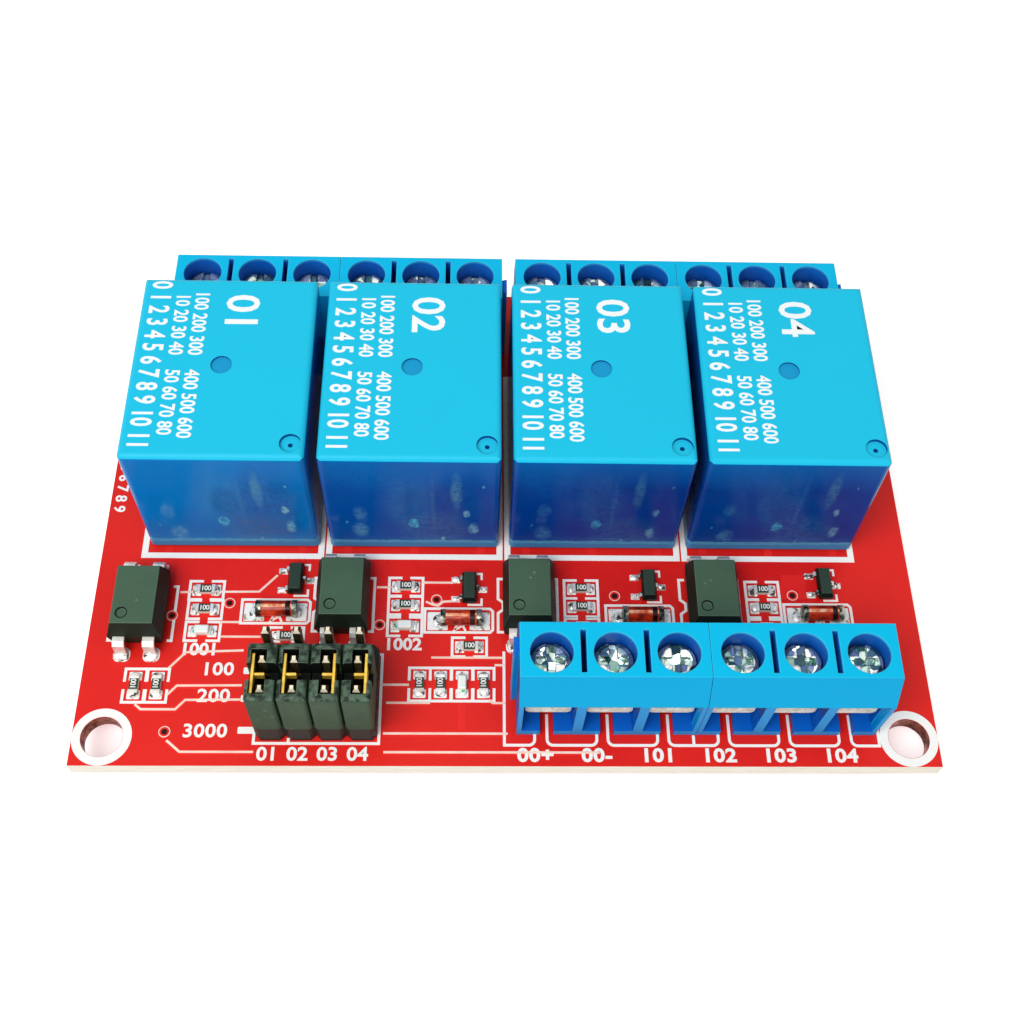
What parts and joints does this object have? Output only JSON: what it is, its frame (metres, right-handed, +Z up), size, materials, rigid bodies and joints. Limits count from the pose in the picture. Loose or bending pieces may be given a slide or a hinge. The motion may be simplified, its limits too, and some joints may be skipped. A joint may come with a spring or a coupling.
{
  "type": "relay module board",
  "caption": "Relay module board: sealed relays behind driver circuits, screw terminals with rising clamps along the front and rear edges, and a jumper header.",
  "frame": {"origin": "centre of the board in X and Y, at the lead tips that the module stands on", "axes": "+X along the board from the jumper side to the input terminals, +Y to the relay output terminals, +Z up out of the board's component side"},
  "size_m": [0.073, 0.05, 0.0186],
  "materials": {
    "board_red": "gloss",
    "relay_blue": "satin",
    "terminal_blue": "satin",
    "screw_steel": "satin",
    "clamp_steel": "satin",
    "tinned_lead": "satin",
    "solder": "gloss",
    "header_black": "matte",
    "header_gold": "polished",
    "jumper_black": "matte",
    "package_black": "matte",
    "diode_glass": "gloss",
    "chip_black": "matte",
    "led_clear": "gloss"
  },
  "bodies": {
    "module": {"circuit_board": "board_red", "relay_1": "relay_blue", "relay_2": "relay_blue", "relay_3": "relay_blue", "relay_4": "relay_blue", "relay_pins": "tinned_lead", "front_terminal_housings": "terminal_blue", "rear_left_terminal_housings": "terminal_blue", "rear_right_terminal_housings": "terminal_blue", "terminal_contacts": "tinned_lead", "header_base": "header_black", "header_pins": "header_gold", "optocouplers": "package_black", "optocoupler_leads": "tinned_lead", "transistors": "package_black", "diodes": "diode_glass", "chip_resistors": "chip_black", "indicator_leds": "led_clear", "solder_joints": "solder"},
    "front_screw_1": {"front_screw_1": "screw_steel"},
    "front_screw_2": {"front_screw_2": "screw_steel"},
    "front_screw_3": {"front_screw_3": "screw_steel"},
    "front_screw_4": {"front_screw_4": "screw_steel"},
    "front_screw_5": {"front_screw_5": "screw_steel"},
    "front_screw_6": {"front_screw_6": "screw_steel"},
    "rear_screw_1": {"rear_screw_1": "screw_steel"},
    "rear_screw_2": {"rear_screw_2": "screw_steel"},
    "rear_screw_3": {"rear_screw_3": "screw_steel"},
    "rear_screw_4": {"rear_screw_4": "screw_steel"},
    "rear_screw_5": {"rear_screw_5": "screw_steel"},
    "rear_screw_6": {"rear_screw_6": "screw_steel"},
    "rear_screw_7": {"rear_screw_7": "screw_steel"},
    "rear_screw_8": {"rear_screw_8": "screw_steel"},
    "rear_screw_9": {"rear_screw_9": "screw_steel"},
    "rear_screw_10": {"rear_screw_10": "screw_steel"},
    "rear_screw_11": {"rear_screw_11": "screw_steel"},
    "rear_screw_12": {"rear_screw_12": "screw_steel"},
    "front_clamp_1": {"front_clamp_1": "clamp_steel"},
    "front_clamp_2": {"front_clamp_2": "clamp_steel"},
    "front_clamp_3": {"front_clamp_3": "clamp_steel"},
    "front_clamp_4": {"front_clamp_4": "clamp_steel"},
    "front_clamp_5": {"front_clamp_5": "clamp_steel"},
    "front_clamp_6": {"front_clamp_6": "clamp_steel"},
    "rear_clamp_1": {"rear_clamp_1": "clamp_steel"},
    "rear_clamp_2": {"rear_clamp_2": "clamp_steel"},
    "rear_clamp_3": {"rear_clamp_3": "clamp_steel"},
    "rear_clamp_4": {"rear_clamp_4": "clamp_steel"},
    "rear_clamp_5": {"rear_clamp_5": "clamp_steel"},
    "rear_clamp_6": {"rear_clamp_6": "clamp_steel"},
    "rear_clamp_7": {"rear_clamp_7": "clamp_steel"},
    "rear_clamp_8": {"rear_clamp_8": "clamp_steel"},
    "rear_clamp_9": {"rear_clamp_9": "clamp_steel"},
    "rear_clamp_10": {"rear_clamp_10": "clamp_steel"},
    "rear_clamp_11": {"rear_clamp_11": "clamp_steel"},
    "rear_clamp_12": {"rear_clamp_12": "clamp_steel"},
    "jumper_1": {"jumper_1": "jumper_black"},
    "jumper_2": {"jumper_2": "jumper_black"},
    "jumper_3": {"jumper_3": "jumper_black"},
    "jumper_4": {"jumper_4": "jumper_black"}
  },
  "joints": [
    {"name": "front_screw_1_turn", "type": "hinge", "parent": "module", "child": "front_screw_1", "pos_m": [0.00315, -0.01911, 0.0116], "axis": [0, 0, 1], "range_deg": [0, 1440]},
    {"name": "front_clamp_1_travel", "type": "slide", "parent": "module", "child": "front_clamp_1", "axis": [0, 0, 1], "range_m": [-0.0018, 0]},
    {"name": "front_screw_2_turn", "type": "hinge", "parent": "module", "child": "front_screw_2", "pos_m": [0.00823, -0.01911, 0.0116], "axis": [0, 0, 1], "range_deg": [0, 1440]},
    {"name": "front_clamp_2_travel", "type": "slide", "parent": "module", "child": "front_clamp_2", "axis": [0, 0, 1], "range_m": [-0.0018, 0]},
    {"name": "front_screw_3_turn", "type": "hinge", "parent": "module", "child": "front_screw_3", "pos_m": [0.01331, -0.01911, 0.0116], "axis": [0, 0, 1], "range_deg": [0, 1440]},
    {"name": "front_clamp_3_travel", "type": "slide", "parent": "module", "child": "front_clamp_3", "axis": [0, 0, 1], "range_m": [-0.0018, 0]},
    {"name": "front_screw_4_turn", "type": "hinge", "parent": "module", "child": "front_screw_4", "pos_m": [0.01839, -0.01911, 0.0116], "axis": [0, 0, 1], "range_deg": [0, 1440]},
    {"name": "front_clamp_4_travel", "type": "slide", "parent": "module", "child": "front_clamp_4", "axis": [0, 0, 1], "range_m": [-0.0018, 0]},
    {"name": "front_screw_5_turn", "type": "hinge", "parent": "module", "child": "front_screw_5", "pos_m": [0.02347, -0.01911, 0.0116], "axis": [0, 0, 1], "range_deg": [0, 1440]},
    {"name": "front_clamp_5_travel", "type": "slide", "parent": "module", "child": "front_clamp_5", "axis": [0, 0, 1], "range_m": [-0.0018, 0]},
    {"name": "front_screw_6_turn", "type": "hinge", "parent": "module", "child": "front_screw_6", "pos_m": [0.02855, -0.01911, 0.0116], "axis": [0, 0, 1], "range_deg": [0, 1440]},
    {"name": "front_clamp_6_travel", "type": "slide", "parent": "module", "child": "front_clamp_6", "axis": [0, 0, 1], "range_m": [-0.0018, 0]},
    {"name": "rear_screw_1_turn", "type": "hinge", "parent": "module", "child": "rear_screw_1", "pos_m": [-0.02855, 0.01926, 0.0116], "axis": [0, 0, 1], "range_deg": [0, 1440]},
    {"name": "rear_clamp_1_travel", "type": "slide", "parent": "module", "child": "rear_clamp_1", "axis": [0, 0, 1], "range_m": [-0.0018, 0]},
    {"name": "rear_screw_2_turn", "type": "hinge", "parent": "module", "child": "rear_screw_2", "pos_m": [-0.02347, 0.01926, 0.0116], "axis": [0, 0, 1], "range_deg": [0, 1440]},
    {"name": "rear_clamp_2_travel", "type": "slide", "parent": "module", "child": "rear_clamp_2", "axis": [0, 0, 1], "range_m": [-0.0018, 0]},
    {"name": "rear_screw_3_turn", "type": "hinge", "parent": "module", "child": "rear_screw_3", "pos_m": [-0.01839, 0.01926, 0.0116], "axis": [0, 0, 1], "range_deg": [0, 1440]},
    {"name": "rear_clamp_3_travel", "type": "slide", "parent": "module", "child": "rear_clamp_3", "axis": [0, 0, 1], "range_m": [-0.0018, 0]},
    {"name": "rear_screw_4_turn", "type": "hinge", "parent": "module", "child": "rear_screw_4", "pos_m": [-0.01331, 0.01926, 0.0116], "axis": [0, 0, 1], "range_deg": [0, 1440]},
    {"name": "rear_clamp_4_travel", "type": "slide", "parent": "module", "child": "rear_clamp_4", "axis": [0, 0, 1], "range_m": [-0.0018, 0]},
    {"name": "rear_screw_5_turn", "type": "hinge", "parent": "module", "child": "rear_screw_5", "pos_m": [-0.00823, 0.01926, 0.0116], "axis": [0, 0, 1], "range_deg": [0, 1440]},
    {"name": "rear_clamp_5_travel", "type": "slide", "parent": "module", "child": "rear_clamp_5", "axis": [0, 0, 1], "range_m": [-0.0018, 0]},
    {"name": "rear_screw_6_turn", "type": "hinge", "parent": "module", "child": "rear_screw_6", "pos_m": [-0.00315, 0.01926, 0.0116], "axis": [0, 0, 1], "range_deg": [0, 1440]},
    {"name": "rear_clamp_6_travel", "type": "slide", "parent": "module", "child": "rear_clamp_6", "axis": [0, 0, 1], "range_m": [-0.0018, 0]},
    {"name": "rear_screw_7_turn", "type": "hinge", "parent": "module", "child": "rear_screw_7", "pos_m": [0.00315, 0.01926, 0.0116], "axis": [0, 0, 1], "range_deg": [0, 1440]},
    {"name": "rear_clamp_7_travel", "type": "slide", "parent": "module", "child": "rear_clamp_7", "axis": [0, 0, 1], "range_m": [-0.0018, 0]},
    {"name": "rear_screw_8_turn", "type": "hinge", "parent": "module", "child": "rear_screw_8", "pos_m": [0.00823, 0.01926, 0.0116], "axis": [0, 0, 1], "range_deg": [0, 1440]},
    {"name": "rear_clamp_8_travel", "type": "slide", "parent": "module", "child": "rear_clamp_8", "axis": [0, 0, 1], "range_m": [-0.0018, 0]},
    {"name": "rear_screw_9_turn", "type": "hinge", "parent": "module", "child": "rear_screw_9", "pos_m": [0.01331, 0.01926, 0.0116], "axis": [0, 0, 1], "range_deg": [0, 1440]},
    {"name": "rear_clamp_9_travel", "type": "slide", "parent": "module", "child": "rear_clamp_9", "axis": [0, 0, 1], "range_m": [-0.0018, 0]},
    {"name": "rear_screw_10_turn", "type": "hinge", "parent": "module", "child": "rear_screw_10", "pos_m": [0.01839, 0.01926, 0.0116], "axis": [0, 0, 1], "range_deg": [0, 1440]},
    {"name": "rear_clamp_10_travel", "type": "slide", "parent": "module", "child": "rear_clamp_10", "axis": [0, 0, 1], "range_m": [-0.0018, 0]},
    {"name": "rear_screw_11_turn", "type": "hinge", "parent": "module", "child": "rear_screw_11", "pos_m": [0.02347, 0.01926, 0.0116], "axis": [0, 0, 1], "range_deg": [0, 1440]},
    {"name": "rear_clamp_11_travel", "type": "slide", "parent": "module", "child": "rear_clamp_11", "axis": [0, 0, 1], "range_m": [-0.0018, 0]},
    {"name": "rear_screw_12_turn", "type": "hinge", "parent": "module", "child": "rear_screw_12", "pos_m": [0.02855, 0.01926, 0.0116], "axis": [0, 0, 1], "range_deg": [0, 1440]},
    {"name": "rear_clamp_12_travel", "type": "slide", "parent": "module", "child": "rear_clamp_12", "axis": [0, 0, 1], "range_m": [-0.0018, 0]},
    {"name": "jumper_1_pull", "type": "slide", "parent": "module", "child": "jumper_1", "axis": [0, 0, 1], "range_m": [0, 0.0065]},
    {"name": "jumper_2_pull", "type": "slide", "parent": "module", "child": "jumper_2", "axis": [0, 0, 1], "range_m": [0, 0.0065]},
    {"name": "jumper_3_pull", "type": "slide", "parent": "module", "child": "jumper_3", "axis": [0, 0, 1], "range_m": [0, 0.0065]},
    {"name": "jumper_4_pull", "type": "slide", "parent": "module", "child": "jumper_4", "axis": [0, 0, 1], "range_m": [0, 0.0065]}
  ],
  "couplings": [
    {"joint": "front_screw_1_turn", "follows": "front_clamp_1_travel", "rad_per_m": -13963},
    {"joint": "front_screw_2_turn", "follows": "front_clamp_2_travel", "rad_per_m": -13963},
    {"joint": "front_screw_3_turn", "follows": "front_clamp_3_travel", "rad_per_m": -13963},
    {"joint": "front_screw_4_turn", "follows": "front_clamp_4_travel", "rad_per_m": -13963},
    {"joint": "front_screw_5_turn", "follows": "front_clamp_5_travel", "rad_per_m": -13963},
    {"joint": "front_screw_6_turn", "follows": "front_clamp_6_travel", "rad_per_m": -13963},
    {"joint": "rear_screw_1_turn", "follows": "rear_clamp_1_travel", "rad_per_m": -13963},
    {"joint": "rear_screw_2_turn", "follows": "rear_clamp_2_travel", "rad_per_m": -13963},
    {"joint": "rear_screw_3_turn", "follows": "rear_clamp_3_travel", "rad_per_m": -13963},
    {"joint": "rear_screw_4_turn", "follows": "rear_clamp_4_travel", "rad_per_m": -13963},
    {"joint": "rear_screw_5_turn", "follows": "rear_clamp_5_travel", "rad_per_m": -13963},
    {"joint": "rear_screw_6_turn", "follows": "rear_clamp_6_travel", "rad_per_m": -13963},
    {"joint": "rear_screw_7_turn", "follows": "rear_clamp_7_travel", "rad_per_m": -13963},
    {"joint": "rear_screw_8_turn", "follows": "rear_clamp_8_travel", "rad_per_m": -13963},
    {"joint": "rear_screw_9_turn", "follows": "rear_clamp_9_travel", "rad_per_m": -13963},
    {"joint": "rear_screw_10_turn", "follows": "rear_clamp_10_travel", "rad_per_m": -13963},
    {"joint": "rear_screw_11_turn", "follows": "rear_clamp_11_travel", "rad_per_m": -13963},
    {"joint": "rear_screw_12_turn", "follows": "rear_clamp_12_travel", "rad_per_m": -13963}
  ]
}
